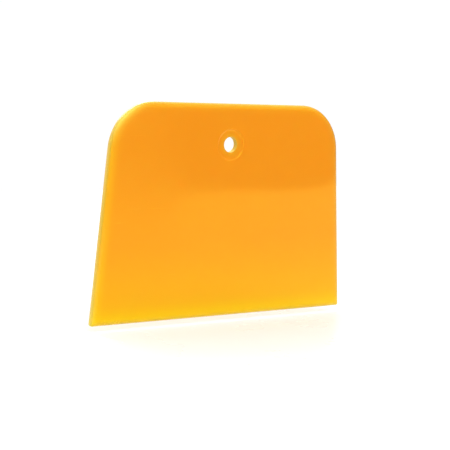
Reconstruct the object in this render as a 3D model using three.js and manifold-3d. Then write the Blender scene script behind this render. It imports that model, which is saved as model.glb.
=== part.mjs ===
// Squeegee applicator: a one-piece moulded plastic blade for pressing down vinyl film.
//
// Frame, in millimetres: +X along the working edge, +Y through the thickness towards the back,
// +Z up from the working edge to the hang hole. The origin is on the hang hole's axis at
// mid-thickness, where a peg holds the blade, with the working edge level below it.

import * as THREE from 'three';
import { mergeVertices } from 'three/addons/utils/BufferGeometryUtils.js';
import Module from 'manifold-3d';

// ---- driving dimensions, in millimetres and degrees ----

const bladeWidth = 127; // overall, across the two toes of the working edge
const bladeHeight = 89; // working edge to top edge
const bladeThickness = 3.2;
const sideLean = 4.8; // degrees that each side leans inwards on its way up
const shoulderRadius = 20; // the two large corners at the top
const toeRadius = 1; // the two small corners at the ends of the working edge

const edgeRoundWidth = 2.4; // how far the softened rim reaches in over each face
const edgeRoundDepth = 1.1; // how far it drops towards the flat land of the rim

const hangHoleDiameter = 6.4;
const hangHoleDrop = 17; // top edge to the hole's centre
const hangHoleRim = 0.15; // radius that takes the sharpness off each end of the hole

const recessDiameter = 12.8; // shallow dish round the hole, the same on both faces
const recessDepth = 0.4;
const recessFillet = 0.9; // how far the dish's curved wall reaches in from its lip

// ---- how finely round stretches are stepped ----

const shoulderSteps = 18;
const toeSteps = 5;
const rimSteps = 5;
const holeSides = 48;
const holeRimSteps = 2;
const filletSteps = 3;
const cutterOverrun = 2; // how far the hole's cutter stands out past each face

const leanAngle = THREE.MathUtils.degToRad(sideLean);
const halfThickness = bladeThickness / 2;
const hangHoleHeight = bladeHeight - hangHoleDrop; // working edge to the hole's axis

// Arc of a corner as points, from one direction of its outward normal to the other.
function cornerArc(centreX, centreZ, radius, startAngle, endAngle, steps) {
  const arc = new THREE.EllipseCurve(centreX, centreZ, radius, radius, startAngle, endAngle);
  return arc.getPoints(steps);
}

// The blade's outline drawn in by an inset, as X and height above the working edge.
// A shoulder keeps its centre and loses the inset from its radius. So does a toe, until nothing is
// left of its radius. From there it is a sharp corner, and moves in with the two edges that meet
// in it. A side's outward normal is tipped up from X by the lean.
function insetOutline(inset) {
  const shoulderZ = bladeHeight - shoulderRadius;
  const fullToeX = bladeWidth / 2 - toeRadius;
  const sideRise = (shoulderZ - toeRadius) * Math.tan(leanAngle);
  const shoulderX = fullToeX - sideRise - (shoulderRadius - toeRadius) / Math.cos(leanAngle);
  const moveIn = Math.max(inset - toeRadius, 0);
  const toeX = fullToeX - moveIn * (1 + Math.sin(leanAngle)) / Math.cos(leanAngle);
  const toeZ = toeRadius + moveIn;
  const toe = toeRadius - inset + moveIn;
  const shoulder = shoulderRadius - inset;
  const up = Math.PI / 2;
  const down = -Math.PI / 2;
  return [
    ...cornerArc(toeX, toeZ, toe, down, leanAngle, toeSteps),
    ...cornerArc(shoulderX, shoulderZ, shoulder, leanAngle, up, shoulderSteps),
    ...cornerArc(-shoulderX, shoulderZ, shoulder, up, Math.PI - leanAngle, shoulderSteps),
    ...cornerArc(-toeX, toeZ, toe, Math.PI - leanAngle, Math.PI - down, toeSteps),
  ];
}

// The plate with its rim, before the hole is cut. It is convex, so it is the hull of the outline
// drawn in at each depth of the rim: a quarter ellipse on each face, with a flat land between.
function bladePlate(wasm) {
  const points = [];
  for (let i = 0; i <= rimSteps; i += 1) {
    const turn = (Math.PI / 2) * (i / rimSteps);
    const y = halfThickness - edgeRoundDepth * (1 - Math.cos(turn));
    for (const { x, y: z } of insetOutline(edgeRoundWidth * (1 - Math.sin(turn)))) {
      points.push([x, y, z], [x, -y, z]);
    }
  }
  return wasm.Manifold.hull(points);
}

// Half of the hole cutter's profile, from past the face to just inside the hole, as radius and
// distance from mid-thickness. A quarter ellipse falls from the dish's lip to its floor, and a
// quarter circle turns the floor into the hole's wall.
function holeHalfProfile() {
  const lipRadius = recessDiameter / 2;
  const floorRadius = lipRadius - recessFillet;
  const floor = halfThickness - recessDepth;
  const holeRadius = hangHoleDiameter / 2;
  const points = [[0, halfThickness + cutterOverrun], [lipRadius, halfThickness + cutterOverrun]];
  for (let i = 0; i <= filletSteps; i += 1) {
    const turn = (Math.PI / 2) * (1 - i / filletSteps);
    points.push([floorRadius + recessFillet * Math.sin(turn), halfThickness - recessDepth * Math.cos(turn)]);
  }
  for (let i = 0; i <= holeRimSteps; i += 1) {
    const turn = (Math.PI / 2) * (i / holeRimSteps);
    points.push([
      holeRadius + hangHoleRim * (1 - Math.sin(turn)),
      floor - hangHoleRim * (1 - Math.cos(turn)),
    ]);
  }
  return points;
}

// The hole cutter: the half profile and its mirror image, turned about the hole's axis.
function holeCutter() {
  const backHalf = holeHalfProfile();
  const frontHalf = backHalf.map(([radius, y]) => [radius, -y]);
  const profile = [...frontHalf, ...backHalf.reverse()].map(([r, y]) => new THREE.Vector2(r, y));
  const cutter = new THREE.LatheGeometry(profile, holeSides);
  return cutter.translate(0, 0, hangHoleHeight);
}

// A closed geometry as a solid that can be cut.
function toSolid(wasm, geometry) {
  const bare = geometry.clone();
  bare.deleteAttribute('normal');
  bare.deleteAttribute('uv');
  const merged = mergeVertices(bare);
  const vertProperties = new Float32Array(merged.attributes.position.array);
  const triVerts = new Uint32Array(merged.index.array);
  return new wasm.Manifold(new wasm.Mesh({ numProp: 3, vertProperties, triVerts }));
}

function toGeometry(solid) {
  const { vertProperties, triVerts } = solid.getMesh();
  const geometry = new THREE.BufferGeometry();
  geometry.setAttribute('position', new THREE.BufferAttribute(vertProperties, 3));
  geometry.setIndex(new THREE.BufferAttribute(triVerts, 1));
  geometry.computeVertexNormals();
  return geometry;
}

// Glossy, slightly see-through yellow-orange plastic.
function amberPlastic() {
  return new THREE.MeshStandardMaterial({ color: 0xf99a20, roughness: 0.22, metalness: 0 });
}

// The blade, lowered so that its hang hole is at the origin.
function squeegeeBlade(wasm) {
  const solid = bladePlate(wasm).subtract(toSolid(wasm, holeCutter()));
  const blade = new THREE.Mesh(toGeometry(solid), amberPlastic());
  blade.name = 'squeegee_blade';
  blade.position.z = -hangHoleHeight;
  return blade;
}

const wasm = await Module();
wasm.setup();

const applicator = new THREE.Group();
applicator.add(squeegeeBlade(wasm));

export default applicator;
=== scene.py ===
import math

import bpy
import numpy as np
from mathutils import Matrix, Vector


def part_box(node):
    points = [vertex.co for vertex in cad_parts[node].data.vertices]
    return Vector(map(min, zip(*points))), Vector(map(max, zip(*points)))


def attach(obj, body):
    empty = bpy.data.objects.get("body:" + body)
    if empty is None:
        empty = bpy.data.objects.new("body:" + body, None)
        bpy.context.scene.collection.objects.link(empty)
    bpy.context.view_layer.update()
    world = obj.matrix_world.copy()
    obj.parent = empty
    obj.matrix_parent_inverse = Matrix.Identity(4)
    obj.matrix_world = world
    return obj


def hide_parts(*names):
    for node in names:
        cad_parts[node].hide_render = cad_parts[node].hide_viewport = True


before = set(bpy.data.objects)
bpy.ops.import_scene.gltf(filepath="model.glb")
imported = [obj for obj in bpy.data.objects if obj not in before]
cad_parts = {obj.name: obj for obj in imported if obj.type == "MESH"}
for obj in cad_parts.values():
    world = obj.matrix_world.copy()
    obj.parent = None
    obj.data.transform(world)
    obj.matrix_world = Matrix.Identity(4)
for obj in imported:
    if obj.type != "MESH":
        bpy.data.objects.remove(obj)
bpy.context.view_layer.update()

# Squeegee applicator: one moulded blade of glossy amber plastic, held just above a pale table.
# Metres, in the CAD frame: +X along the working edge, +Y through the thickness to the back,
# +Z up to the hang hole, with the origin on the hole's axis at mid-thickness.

MM = 0.001
BLADE_LOW, BLADE_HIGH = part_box("squeegee_blade")

# ---- the blade's own sizes, the same as in the CAD ----

SIDE_LEAN = math.radians(4.8)  # each side leans inwards on its way up
SHOULDER_RADIUS = 20 * MM
TOE_RADIUS = 1.0 * MM
LEAST_TOE = 0.02 * MM  # what a toe keeps of its radius where the rim has used it up
RIM_WIDTH = 2.4 * MM  # how far the softened rim reaches in over a face
RIM_DEPTH = 1.1 * MM  # how far it falls towards the land round the outside
HOLE_RADIUS = 3.2 * MM
HOLE_ROUNDING = 0.15 * MM
DISH_RADIUS = 6.4 * MM
DISH_DEPTH = 0.4 * MM
DISH_FILLET = 0.9 * MM
LIP_ROUNDING = 0.22 * MM  # takes the edge off the dish's lip
RIDGE_HEIGHT = 0.035 * MM  # fine witness of the mould's parting line, round the land
RIDGE_HALF_WIDTH = 0.12 * MM

# ---- how finely the surface is stepped ----

TOE_STEPS = 10
SHOULDER_STEPS = 56
RUN_STEPS = (60, 76, 60, 96)  # right side, top, left side, working edge
WALL_POINTS = 5
ROUNDING_POINTS = 7
FLOOR_POINTS = 6
FILLET_POINTS = 9
LIP_POINTS = 6
FACE_POINTS = 36
RIM_POINTS = 15
FACE_CROWDING = 1.3  # power that draws the face's rings in towards the lip

# ---- how the moulded faces fall short of dead flat ----

CROWN_SINK = 0.03 * MM  # the middle of a face lies this much low
RIPPLE_DEPTH = 0.0035 * MM
RIPPLE_LENGTHS = (47 * MM, 31 * MM)
RIPPLE_SLANT = 0.35

# ---- painted glow where light shows through at each side, with a painted highlight and painted shade: its share at the very edge, and its reach ----

PAINTED_SIDE_GLOW = {
    "left": (0.33, 3.0 * MM),
    "right": (0.05, 1.2 * MM),
    "top": (0.28, 2.2 * MM),
}
PAINTED_BOTTOM_GLOW = (0.56, 4.8 * MM)
PAINTED_SHOULDER_HIGHLIGHT = (0.68, 2.2 * MM)  # painted highlight, paler, round the upper left shoulder
SHOULDER_NARROWING = 8  # power of the facing that keeps that painted highlight to the shoulder
PAINTED_RIGHT_SHADE = (0.34, 1.9 * MM)  # painted shade: the right rim turns away from the light and is darker
SIDES_FACE_AT_LEAST = -0.2  # least upward normal that still counts as a side

# ---- amber plastic: colours are linear, and a painted yellow glow, a painted shade or a coat fades over its reach ----

AMBER = (0.76, 0.266, 0.0115, 1.0)
AMBER_DEEP = (0.75, 0.256, 0.0108, 1.0)  # the other end of its slow mottling
# painted glow: the yellow of light showing through at the edges and the working edge
PAINTED_GLOW_YELLOW = (0.80, 0.60, 0.0, 1.0)
# painted highlight: the pale yellow round the upper left shoulder
PAINTED_HIGHLIGHT_YELLOW = (0.78, 0.60, 0.085, 1.0)
# painted shade: the darker colour of the very rim, the right side and the hole's wall
RIM_SHADE = (0.42, 0.38, 0.07, 1.0)
# painted glow: the yellow round the hole's dish
DISH_GLOW_YELLOW = (0.52, 0.44, 0.02, 1.0)
WORN_YELLOW = (0.95, 0.75, 0.2, 1.0)
GLOSS_TINT = (1.0, 0.85, 0.03, 1.0)
PAINTED_LOW_GLOW = (0.29, 36 * MM)  # painted glow of table light coming through: share, and reach up from the working edge
EDGE_SHADE = (0.46, 1.1 * MM)  # painted shade on the very rim: share, and reach in from the outline
PAINTED_DISH_GLOW = (0.22, 2.8 * MM)  # painted glow round the hole: share, and reach out from the hole
# painted shade on the hole's wall
WALL_SHADE = 0.6
WALL_REACH = 0.3 * MM  # the hole's wall and its rounded end
COATED_RIM = (0.6, 2.4 * MM)  # share, and reach in from the outline
COAT_FULL_AT = 0.1 * MM
WORN_HEIGHT = 10 * MM  # up from the working edge
WORN_DEPTH = (6 * MM, 0.5 * MM)  # in from the outline, from none to full
WORN_SHARE = 0.03
HANDLED_FROM, HANDLED_TO = -4 * MM, -52 * MM  # the left half is duller from being held
ROUGHNESS = 0.05
ADDED_ROUGHNESS = {"handled": 0.15, "smudge": 0.035, "scratches": 0.16, "wear": 0.08,
                   "wall": 0.8}
PEEL_HEIGHT, SCRATCH_HEIGHT, WEAR_HEIGHT = 0.25, 0.8, 0.1
SCRATCH_SETS = ((0.35, 2600.0, 0.0), (1.2, 2100.0, 0.4))  # turn, closeness, offset
SCRATCH_STRETCH = 12.0  # the smaller against the closeness, the longer the scratches
SCRATCH_CREST = (0.66, 0.74)  # how high the noise rises before it counts as a scratch
SCRATCH_LENGTH = (0.5, 0.62)  # how high the second noise rises before a scratch shows
PEEL_SCALE, PEEL_DISTANCE = 420.0, 0.0025 * MM

# ---- mottling: how close it is, and how strong ----

BODY_CLOUD = (38.0, 1.2)
SCUFF_CLOUD = (900.0, 3.0)
SMUDGE_CLOUD = (60.0, 2.2)
TABLE_CLOUD = (4.0, 1.0)
TABLE_SHEEN = (22.0, 1.5)

# ---- white table ----

TABLE_WHITE = (0.805, 0.805, 0.80, 1.0)
TABLE_DIM = (0.775, 0.775, 0.775, 1.0)
TABLE_ROUGHNESS = (0.24, 0.32)
TABLE_GRAIN, TABLE_GRAIN_DISTANCE = 1500.0, 0.004 * MM

# ---- camera, table and light ----

AZIMUTH = math.radians(-35.52)
ELEVATION = math.radians(6.91)
ROLL = math.radians(2.62)
AIM = Vector((-0.0001, 0.0, -0.0337))
DISTANCE = 0.5376
LENS, SENSOR = 102.8, 36.0  # in millimetres, as Blender takes them
CLIP_START, CLIP_END = 0.01, 20.0
TABLE_GAP = 2.6 * MM  # the blade is held just clear of the table
TABLE_LEFT, TABLE_RIGHT = -1.6, 1.8
TABLE_FRONT, TABLE_BACK = -0.475, 0.5
TABLE_COLUMNS, TABLE_ROWS = 69, 41
TABLE_TURN = 0.385  # along X, where the front edge starts to fall away
TABLE_TURN_REACH = 0.12
TABLE_TURN_CURVE = 4.3
ROOM_WHITE = (1.15, 1.15, 1.15, 1.0)
ROOM_GAP = (0.11, 0.11, 0.115, 1.0)  # low down in front
ROOM_SIDE = (0.14, 0.14, 0.14, 1.0)  # the dull side, towards +X
ROOM_ABOVE = 0.42  # how white the room is above the gap
ROOM_SIDE_SHARE = 0.9
BACKDROP = (1.02, 1.02, 1.02, 1.0)
BEHIND_Y = (-0.74, -0.45)  # these spans are along the direction looked in, from none to full
ABOVE_Z = (0.0, 0.14)
SIDE_X, SIDE_Y, SIDE_Z = (0.66, 0.84), (0.66, 0.5), (0.7, 0.35)
LAMPS = {  # place, aim, width, height, power in watts
    "key_box": ((-0.18, -0.62, 0.62), (0.0, 0.0, -0.02), 0.8, 0.8, 3.65),
    "rear_box": ((0.10, 0.60, 0.60), (0.0, 0.05, -0.07), 0.7, 0.5, 3.9),
    "table_box": ((0.22, -0.60, 0.70), (0.10, -0.42, -0.07), 0.8, 0.6, 3.9),
}


def outline(inset):
    """The blade's outline drawn in by each inset of an array, anticlockwise from the right toe as
    seen from the front.

    A corner is an arc: its centre plus its radius times the outward normal (cos a, sin a). A
    shoulder keeps its centre and loses the inset from its radius. So does a toe, until next to
    nothing is left of its radius, and from there it moves in with the two edges that meet in it.
    Straight runs join the arcs. A side leans, so its normal is tipped up from X by the lean.
    Returns x, z and the normal's x and z, each with one row for each station and one column for
    each inset.
    """
    inset = np.asarray(inset, dtype=float)[None, :]
    half_width = (BLADE_HIGH.x - BLADE_LOW.x) / 2
    lean_cos, lean_sin = math.cos(SIDE_LEAN), math.sin(SIDE_LEAN)
    toe = np.maximum(TOE_RADIUS - inset, LEAST_TOE)
    move_in = inset + toe - TOE_RADIUS
    toe_x = half_width - TOE_RADIUS - move_in * (1 + lean_sin) / lean_cos
    toe_z = BLADE_LOW.z + TOE_RADIUS + move_in
    shoulder = SHOULDER_RADIUS - inset
    shoulder_z = BLADE_HIGH.z - SHOULDER_RADIUS + 0 * inset
    side_rise = BLADE_HIGH.z - SHOULDER_RADIUS - BLADE_LOW.z - TOE_RADIUS
    shoulder_x = (half_width - TOE_RADIUS - side_rise * lean_sin / lean_cos
                  - (SHOULDER_RADIUS - TOE_RADIUS) / lean_cos + 0 * inset)
    quarter = math.pi / 2
    corners = (
        (toe_x, toe_z, toe, -quarter, SIDE_LEAN, TOE_STEPS),
        (shoulder_x, shoulder_z, shoulder, SIDE_LEAN, quarter, SHOULDER_STEPS),
        (-shoulder_x, shoulder_z, shoulder, quarter, math.pi - SIDE_LEAN, SHOULDER_STEPS),
        (-toe_x, toe_z, toe, math.pi - SIDE_LEAN, math.pi + quarter, TOE_STEPS),
    )
    arcs = []
    for x, z, radius, start, end, steps in corners:
        angle = np.linspace(start, end, steps + 1)[:, None]
        arcs.append(np.stack(np.broadcast_arrays(
            x + radius * np.cos(angle), z + radius * np.sin(angle), np.cos(angle),
            np.sin(angle))))
    pieces = []
    for arc, following, steps in zip(arcs, arcs[1:] + arcs[:1], RUN_STEPS):
        share = np.linspace(0, 1, steps + 1)[1:-1, None]
        last, first = arc[:, -1:], following[:, :1]
        pieces += [arc, last + share * (first - last)]
    return np.concatenate(pieces, axis=1)


def half_profile():
    """Half of the section from the hole's middle out to the land's middle, on the back face.

    Each row is (radius, inset, share, y). A point of the surface is (1 - share) times the circle
    of that radius round the hole plus share times the outline drawn in by inset. From the hole
    outwards: the wall, a quarter circle onto the dish's floor, the floor, a quarter ellipse up
    the dish's wall, a quarter circle over its lip, the face, a quarter ellipse down the rim, and
    the land with its fine ridge.
    """
    half = (BLADE_HIGH.y - BLADE_LOW.y) / 2
    floor = half - DISH_DEPTH
    land = half - RIM_DEPTH
    lip_top = DISH_RADIUS + LIP_ROUNDING
    rows = []

    def add(radius, inset, share, y):
        rows.append(np.stack(np.broadcast_arrays(radius, inset, share, y), axis=1))

    turn = np.linspace(0, math.pi / 2, ROUNDING_POINTS)
    add(HOLE_RADIUS, 0.0, 0.0, np.linspace(0, floor - HOLE_ROUNDING, WALL_POINTS)[:-1])
    add(HOLE_RADIUS + HOLE_ROUNDING * (1 - np.cos(turn)), 0.0, 0.0,
        floor - HOLE_ROUNDING * (1 - np.sin(turn)))
    floor_end = DISH_RADIUS - DISH_FILLET
    across = np.linspace(HOLE_RADIUS + HOLE_ROUNDING, floor_end, FLOOR_POINTS)[1:-1]
    add(across, 0.0, 0.0, floor)
    turn = np.linspace(0, math.pi / 2, FILLET_POINTS)
    add(floor_end + DISH_FILLET * np.sin(turn), 0.0, 0.0,
        floor + (DISH_DEPTH - LIP_ROUNDING) * (1 - np.cos(turn)))
    turn = np.linspace(0, math.pi / 2, LIP_POINTS)[1:]
    add(DISH_RADIUS + LIP_ROUNDING * (1 - np.cos(turn)), 0.0, 0.0,
        half - LIP_ROUNDING * (1 - np.sin(turn)))
    share = np.linspace(0, 1, FACE_POINTS)[1:-1] ** FACE_CROWDING
    add(lip_top, RIM_WIDTH, share, half)
    turn = np.linspace(0, math.pi / 2, RIM_POINTS)
    add(0.0, RIDGE_HEIGHT + (RIM_WIDTH - RIDGE_HEIGHT) * (1 - np.sin(turn)), 1.0,
        land + RIM_DEPTH * np.cos(turn))
    add(0.0, RIDGE_HEIGHT, 1.0, np.linspace(land, RIDGE_HALF_WIDTH, 3)[1:])
    add(0.0, np.array([RIDGE_HEIGHT * 0.4, 0.0]), 1.0, np.array([RIDGE_HALF_WIDTH * 0.4, 0.0]))
    return np.concatenate(rows)


def face_sink(x, z, share):
    """How far a face lies below flat: the crown's sink plus the ripple's depth times one plus
    a slanted sine wave times a cosine wave in z. It fades out at the lip and at the rim as
    4 share (1 - share)."""
    fade = np.clip(4 * share * (1 - share), 0, 1)
    first, second = RIPPLE_LENGTHS
    slanted = x + RIPPLE_SLANT * z
    ripple = np.sin(2 * math.pi * slanted / first) * np.cos(2 * math.pi * z / second)
    return fade * (CROWN_SINK + RIPPLE_DEPTH * (1 + ripple))


def edge_depth(x, z, lowest=-1.0):
    """How far inside the outline a point lies, and the outward normal of the outline nearest to
    it. The depth is the least, over the outline's stations, of the distance to the station's
    tangent line. Only stations whose normal's z is at least lowest are looked at."""
    stations = outline([0.0])[:, :, 0].astype(np.float32)
    edge_x, edge_z, normal_x, normal_z = stations[:, stations[3] >= lowest]
    flat = np.stack([x.ravel(), z.ravel()], axis=1).astype(np.float32)
    distance = edge_x * normal_x + edge_z * normal_z - flat @ np.stack([normal_x, normal_z])
    nearest = distance.argmin(axis=1)
    depth = distance[np.arange(len(flat)), nearest]
    return (depth.reshape(x.shape), normal_x[nearest].reshape(x.shape),
            normal_z[nearest].reshape(x.shape))


def painted_edge_glow(x, z):
    """How much painted glow from light at the edge shows: a share times exp(-(depth / reach)
    squared).

    Round the sides and the top, share and reach are the three sides' values mixed by the squares
    of the facing. The working edge has its own painted glow, and the two are put together as
    1 - (1 - a)(1 - b). Returns that, the painted highlight round the upper left shoulder and the
    painted shade of the right side, which fall off in the same way.
    """
    depth, facing_x, facing_z = edge_depth(x, z, lowest=SIDES_FACE_AT_LEAST)
    parts = {
        "left": np.clip(-facing_x, 0, 1) ** 2,
        "right": np.clip(facing_x, 0, 1) ** 2,
        "top": facing_z ** 2,
    }
    share = sum(parts[side] * PAINTED_SIDE_GLOW[side][0] for side in parts)
    reach = sum(parts[side] * PAINTED_SIDE_GLOW[side][1] for side in parts)
    above = share * np.exp(-(depth / reach) ** 2)
    bottom_share, bottom_reach = PAINTED_BOTTOM_GLOW
    below = bottom_share * np.exp(-((z - BLADE_LOW.z) / bottom_reach) ** 2)
    up_left = np.clip((facing_z - facing_x) / math.sqrt(2), 0, 1) ** SHOULDER_NARROWING
    shoulder = up_left * PAINTED_SHOULDER_HIGHLIGHT[0] * np.exp(-(depth / PAINTED_SHOULDER_HIGHLIGHT[1]) ** 2)
    # painted shade on the right rim
    dull = parts["right"] * PAINTED_RIGHT_SHADE[0] * np.exp(-(depth / PAINTED_RIGHT_SHADE[1]) ** 2)
    return 1 - (1 - above) * (1 - below), shoulder, dull


def closed_grid(name, x, y, z):
    """A mesh whose vertices are the arrays x, y, z on a grid that closes on itself both ways.
    Each square of the grid is one face."""
    rows, columns = x.shape
    index = np.arange(rows * columns).reshape(rows, columns)
    down, across = np.roll(index, -1, axis=0), np.roll(index, -1, axis=1)
    corner = np.roll(down, -1, axis=1)
    faces = np.stack([index, down, corner, across], axis=-1).reshape(-1, 4)
    mesh = bpy.data.meshes.new(name)
    mesh.from_pydata(np.stack([x, y, z], axis=-1).reshape(-1, 3), [], faces.tolist())
    mesh.polygons.foreach_set("use_smooth", np.ones(len(faces), dtype=bool))
    mesh.update()
    return mesh


def attribute(mesh, name, values):
    layer = mesh.attributes.new(name, "FLOAT", "POINT")
    layer.data.foreach_set("value", values.ravel().astype(np.float32))


def applicator_blade():
    """The whole blade as one closed surface: round the outline one way, and round the section,
    hole to land on the back face and land to hole on the front, the other way."""
    half = half_profile()
    mirror = half[-2:0:-1] * np.array([1, 1, 1, -1])
    radius, inset, share, y = np.concatenate([half, mirror]).T
    edge_x, edge_z = outline(inset)[:2]
    outer_x, outer_z = outline([0.0])[:2]
    bearing = np.arctan2(outer_z, outer_x)
    x = (1 - share) * radius * np.cos(bearing) + share * edge_x
    z = (1 - share) * radius * np.sin(bearing) + share * edge_z
    y = np.broadcast_to(y, x.shape)
    y = y - np.sign(y) * face_sink(x, z, share)
    mesh = closed_grid("applicator_blade", x, y, z)
    attribute(mesh, "edge_depth", edge_depth(x, z)[0])
    # attributes for the painted glow, the painted shoulder highlight and the painted right-side
    # shade
    for name, values in zip(("painted_edge_glow", "painted_shoulder_highlight", "painted_right_shade"), painted_edge_glow(x, z)):
        attribute(mesh, name, values)
    attribute(mesh, "hole_distance", np.hypot(x, z) - HOLE_RADIUS)
    blade = bpy.data.objects.new("applicator_blade", mesh)
    bpy.context.scene.collection.objects.link(blade)
    return blade


# ---- materials ----

class Nodes:
    """Short calls for laying out one node tree."""

    def __init__(self, tree):
        self.tree = tree

    def add(self, kind, inputs=(), **settings):
        node = self.tree.nodes.new(kind)
        for key, value in settings.items():
            setattr(node, key, value)
        for key, value in dict(inputs).items():
            self.put(node.inputs[key], value)
        return node

    def put(self, socket, value):
        if isinstance(value, bpy.types.NodeSocket):
            self.tree.links.new(value, socket)
        else:
            socket.default_value = value

    def math(self, operation, a, b=0.0, c=0.0, clamp=False):
        node = self.add("ShaderNodeMath", {0: a, 1: b, 2: c}, operation=operation, use_clamp=clamp)
        return node.outputs[0]

    def span(self, value, low, high, to_low=0.0, to_high=1.0):
        """value carried smoothly from low..high to to_low..to_high."""
        node = self.add("ShaderNodeMapRange", {
            "Value": value, "From Min": low, "From Max": high,
            "To Min": to_low, "To Max": to_high}, interpolation_type="SMOOTHSTEP")
        return node.outputs["Result"]

    def blend(self, share, a, b):
        node = self.add("ShaderNodeMix", data_type="RGBA")
        self.put(node.inputs["Factor"], share)
        self.put(node.inputs[6], a)
        self.put(node.inputs[7], b)
        return node.outputs[2]


def new_material(name):
    material = bpy.data.materials.new(name)
    material.use_nodes = True
    material.node_tree.nodes.clear()
    return material, Nodes(material.node_tree)


def mottle_group():
    """Slow mottling with finer speckle over it: Mask lies round 0.5, and Strength spreads it."""
    tree = bpy.data.node_groups.new("mottle", "ShaderNodeTree")
    for name, kind in (("Vector", "NodeSocketVector"), ("Scale", "NodeSocketFloat"),
                       ("Strength", "NodeSocketFloat")):
        tree.interface.new_socket(name, in_out="INPUT", socket_type=kind)
    tree.interface.new_socket("Mask", in_out="OUTPUT", socket_type="NodeSocketFloat")
    n = Nodes(tree)
    given = n.add("NodeGroupInput").outputs
    result = n.add("NodeGroupOutput")
    noise = n.add("ShaderNodeTexNoise", {
        "Vector": given["Vector"], "Scale": given["Scale"], "Detail": 5.0, "Roughness": 0.55})
    swing = n.math("MULTIPLY", n.math("SUBTRACT", noise.outputs["Fac"], 0.5), given["Strength"])
    n.put(result.inputs["Mask"], n.math("ADD", swing, 0.5, clamp=True))
    return tree


def mottle(n, tree, vector, scale, strength):
    node = n.add("ShaderNodeGroup", node_tree=tree)
    n.put(node.inputs["Vector"], vector)
    n.put(node.inputs["Scale"], scale)
    n.put(node.inputs["Strength"], strength)
    return node.outputs["Mask"]


def hairlines(n, vector, turn, closeness, offset):
    """Fine straight scratches: noise stretched along one direction, cut down to its crests and
    broken into short lengths by a second noise."""
    turned = n.add("ShaderNodeMapping", {
        "Vector": vector, "Location": (offset, 0.0, offset),
        "Rotation": (0.0, turn, 0.0), "Scale": (SCRATCH_STRETCH, SCRATCH_STRETCH, closeness)})
    lines = n.add("ShaderNodeTexNoise", {
        "Vector": turned.outputs[0], "Scale": 1.0, "Detail": 3.0, "Roughness": 0.7})
    broken = n.add("ShaderNodeTexNoise", {"Vector": vector, "Scale": 55.0, "Detail": 2.0})
    crest = n.span(lines.outputs["Fac"], *SCRATCH_CREST)
    length = n.span(broken.outputs["Fac"], *SCRATCH_LENGTH)
    return n.math("MULTIPLY", crest, length)


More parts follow.
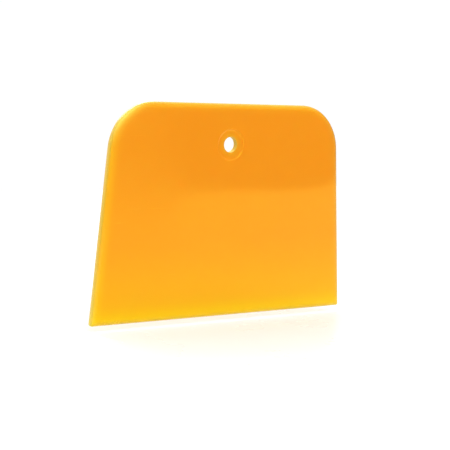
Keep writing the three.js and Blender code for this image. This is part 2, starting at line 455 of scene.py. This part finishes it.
def amber_plastic(group):
    """Glossy moulded amber. Painted glow, standing in for light inside the blade, turns its orange
    yellower towards the edges, the working edge and the hole, and a painted highlight makes it
    paler round the upper left shoulder. Painted shade darkens the very rim, the right side and
    the hole's wall, the wall is also rougher, and the working edge is a little worn."""
    material, n = new_material("amber_plastic")
    place = n.add("ShaderNodeTexCoord").outputs["Object"]
    axes = n.add("ShaderNodeSeparateXYZ", {"Vector": place}).outputs

    def given(name):
        return n.add("ShaderNodeAttribute", attribute_name=name).outputs["Fac"]

    depth = given("edge_depth")
    hole = given("hole_distance")

    cloud = mottle(n, group, place, *BODY_CLOUD)
    colour = n.blend(cloud, AMBER_DEEP, AMBER)
    # painted glow: yellower towards the working edge, standing in for table light coming through
    low_share, low_reach = PAINTED_LOW_GLOW
    low = n.span(axes["Z"], BLADE_LOW.z + low_reach, BLADE_LOW.z, 0.0, low_share)
    colour = n.blend(low, colour, PAINTED_GLOW_YELLOW)
    # painted glow where light shows through round the edges
    colour = n.blend(given("painted_edge_glow"), colour, PAINTED_GLOW_YELLOW)
    # painted highlight round the upper left shoulder
    colour = n.blend(given("painted_shoulder_highlight"), colour, PAINTED_HIGHLIGHT_YELLOW)
    # painted shade: darker on the very rim and on the right side
    edge_share, edge_reach = EDGE_SHADE
    outer = n.math("MAXIMUM", n.span(depth, edge_reach, 0.0, 0.0, edge_share),
                   given("painted_right_shade"))
    colour = n.blend(outer, colour, RIM_SHADE)
    # painted glow: yellower round the hole's dish
    dish_share, dish_reach = PAINTED_DISH_GLOW
    ring = n.span(hole, dish_reach, WALL_REACH, 0.0, dish_share)
    colour = n.blend(ring, colour, DISH_GLOW_YELLOW)
    # painted shade on the hole's wall; the same mask also roughens the wall
    wall = n.span(hole, WALL_REACH, 0.0, 0.0, WALL_SHADE)
    colour = n.blend(wall, colour, RIM_SHADE)

    first, second = (hairlines(n, place, *settings) for settings in SCRATCH_SETS)
    scratches = n.math("MAXIMUM", first, second)
    near_edge = n.span(depth, *WORN_DEPTH)
    near_table = n.span(axes["Z"], BLADE_LOW.z + WORN_HEIGHT, BLADE_LOW.z)
    scuff = mottle(n, group, place, *SCUFF_CLOUD)
    wear = n.math("MULTIPLY", n.math("MULTIPLY", near_edge, near_table), scuff)
    colour = n.blend(n.math("MULTIPLY", wear, WORN_SHARE), colour, WORN_YELLOW)

    masks = {
        "handled": n.span(axes["X"], HANDLED_FROM, HANDLED_TO),
        "smudge": mottle(n, group, place, *SMUDGE_CLOUD),
        "scratches": scratches,
        "wear": wear,
        "wall": wall,
    }
    rough = ROUGHNESS
    for name, mask in masks.items():
        rough = n.math("ADD", rough, n.math("MULTIPLY", mask, ADDED_ROUGHNESS[name]))

    peel = n.add("ShaderNodeTexNoise", {
        "Vector": place, "Scale": PEEL_SCALE, "Detail": 2.0, "Roughness": 0.4}).outputs["Fac"]
    height = n.math("MULTIPLY", peel, PEEL_HEIGHT)
    height = n.math("SUBTRACT", height, n.math("MULTIPLY", scratches, SCRATCH_HEIGHT))
    height = n.math("SUBTRACT", height, n.math("MULTIPLY", wear, WEAR_HEIGHT))
    bump = n.add("ShaderNodeBump", {"Strength": 1.0, "Distance": PEEL_DISTANCE, "Height": height})

    coat_share, coat_reach = COATED_RIM
    shader = n.add("ShaderNodeBsdfPrincipled", {
        "Base Color": colour,
        "Roughness": rough,
        "Normal": bump.outputs["Normal"],
        "IOR": 1.58,
        "Specular IOR Level": 0.95,
        "Specular Tint": GLOSS_TINT,
        "Coat Weight": n.span(depth, coat_reach, COAT_FULL_AT, 0.0, coat_share),
        "Coat Roughness": 0.12,
        "Coat IOR": 1.5,
        "Subsurface Weight": 0.3,
        "Subsurface Radius": (1.0, 0.35, 0.05),
        "Subsurface Scale": 3 * MM,
    })
    n.add("ShaderNodeOutputMaterial", {"Surface": shader.outputs[0]})
    return material


def table_white(group):
    """Smooth white laminate with a soft gloss that varies slowly."""
    material, n = new_material("table_white")
    place = n.add("ShaderNodeTexCoord").outputs["Object"]
    cloud = mottle(n, group, place, *TABLE_CLOUD)
    colour = n.blend(cloud, TABLE_DIM, TABLE_WHITE)
    sheen = mottle(n, group, place, *TABLE_SHEEN)
    rough = n.span(sheen, 0.0, 1.0, *TABLE_ROUGHNESS)
    grain = n.add("ShaderNodeTexNoise", {"Vector": place, "Scale": TABLE_GRAIN, "Detail": 2.0})
    bump = n.add("ShaderNodeBump", {
        "Strength": 0.4, "Distance": TABLE_GRAIN_DISTANCE, "Height": grain.outputs["Fac"]})
    shader = n.add("ShaderNodeBsdfPrincipled", {
        "Base Color": colour, "Roughness": rough, "Normal": bump.outputs["Normal"],
        "Specular IOR Level": 0.05})
    n.add("ShaderNodeOutputMaterial", {"Surface": shader.outputs[0]})
    return material


# ---- the stage ----

def table_top():
    """The table as a flat grid. Its front edge runs along X, falls away past the turn by the
    curve times the square of the distance, and runs on along X after the turn's reach. Each
    column of the grid spans evenly from there to the back."""
    x = np.linspace(TABLE_LEFT, TABLE_RIGHT, TABLE_COLUMNS)[:, None]
    share = np.linspace(0, 1, TABLE_ROWS)[None, :]
    front = TABLE_FRONT - TABLE_TURN_CURVE * np.clip(x - TABLE_TURN, 0, TABLE_TURN_REACH) ** 2
    y = front + share * (TABLE_BACK - front)
    x = np.broadcast_to(x, y.shape)
    z = np.full(y.shape, BLADE_LOW.z - TABLE_GAP)
    index = np.arange(x.size).reshape(x.shape)
    faces = np.stack([index[:-1, :-1], index[1:, :-1], index[1:, 1:], index[:-1, 1:]], axis=-1)
    mesh = bpy.data.meshes.new("table_top")
    mesh.from_pydata(np.stack([x, y, z], axis=-1).reshape(-1, 3), [],
                     faces.reshape(-1, 4).tolist())
    mesh.update()
    table = bpy.data.objects.new("table_top", mesh)
    bpy.context.scene.collection.objects.link(table)
    return table


def soft_box(name, place, aim, width, height, power):
    """A rectangular lamp at place that faces aim."""
    lamp = bpy.data.lights.new(name, "AREA")
    lamp.shape = "RECTANGLE"
    lamp.size, lamp.size_y, lamp.energy = width, height, power
    holder = bpy.data.objects.new(name, lamp)
    holder.location = place
    holder.rotation_euler = (Vector(place) - Vector(aim)).to_track_quat("Z", "Y").to_euler()
    bpy.context.scene.collection.objects.link(holder)
    return holder


def studio_world():
    """White behind, less so above the front, and dim low down in front and towards the
    dull side. Each part fades into the next along the direction looked in. Seen straight on,
    the room is white all round."""
    world = bpy.data.worlds.new("studio")
    world.use_nodes = True
    world.node_tree.nodes.clear()
    n = Nodes(world.node_tree)
    direction = n.add("ShaderNodeTexCoord").outputs["Generated"]
    axes = n.add("ShaderNodeSeparateXYZ", {"Vector": direction}).outputs
    behind = n.span(axes["Y"], *BEHIND_Y)
    above = n.span(axes["Z"], *ABOVE_Z)
    bright = n.math("MAXIMUM", behind, n.math("MULTIPLY", above, ROOM_ABOVE))
    room = n.blend(bright, ROOM_GAP, ROOM_WHITE)
    aside = n.math("MULTIPLY", n.span(axes["X"], *SIDE_X), n.span(axes["Z"], *SIDE_Z))
    aside = n.math("MULTIPLY", aside, n.span(axes["Y"], *SIDE_Y))
    room = n.blend(n.math("MULTIPLY", aside, ROOM_SIDE_SHARE), room, ROOM_SIDE)
    seen = n.add("ShaderNodeLightPath").outputs["Is Camera Ray"]
    colour = n.blend(seen, room, BACKDROP)
    sky = n.add("ShaderNodeBackground", {"Color": colour, "Strength": 1.0})
    n.add("ShaderNodeOutputWorld", {"Surface": sky.outputs[0]})
    return world


def studio_camera():
    """A camera that looks at the aim from its azimuth and elevation, rolled about its axis."""
    back = Vector((math.sin(AZIMUTH) * math.cos(ELEVATION),
                   -math.cos(AZIMUTH) * math.cos(ELEVATION), math.sin(ELEVATION)))
    level = Vector((math.cos(AZIMUTH), math.sin(AZIMUTH), 0.0))
    upright = back.cross(level)
    right = math.cos(ROLL) * level + math.sin(ROLL) * upright
    up = math.cos(ROLL) * upright - math.sin(ROLL) * level
    data = bpy.data.cameras.new("camera")
    data.lens = LENS
    data.sensor_width = SENSOR
    data.clip_start, data.clip_end = CLIP_START, CLIP_END
    camera = bpy.data.objects.new("camera", data)
    turn = Matrix((right, up, back)).transposed().to_4x4()
    camera.matrix_world = Matrix.Translation(AIM + back * DISTANCE) @ turn
    bpy.context.scene.collection.objects.link(camera)
    return camera


scene = bpy.context.scene
scene.view_settings.view_transform = "Standard"
scene.view_settings.look = "None"

mottling = mottle_group()
blade = applicator_blade()
blade.data.materials.append(amber_plastic(mottling))
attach(blade, "root")
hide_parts("squeegee_blade")

table = table_top()
table.data.materials.append(table_white(mottling))

lamps = {name: soft_box(name, *settings) for name, settings in LAMPS.items()}
lamps["table_box"].visible_glossy = False  # it isn't seen in the blade's gloss
scene.world = studio_world()
scene.camera = studio_camera()
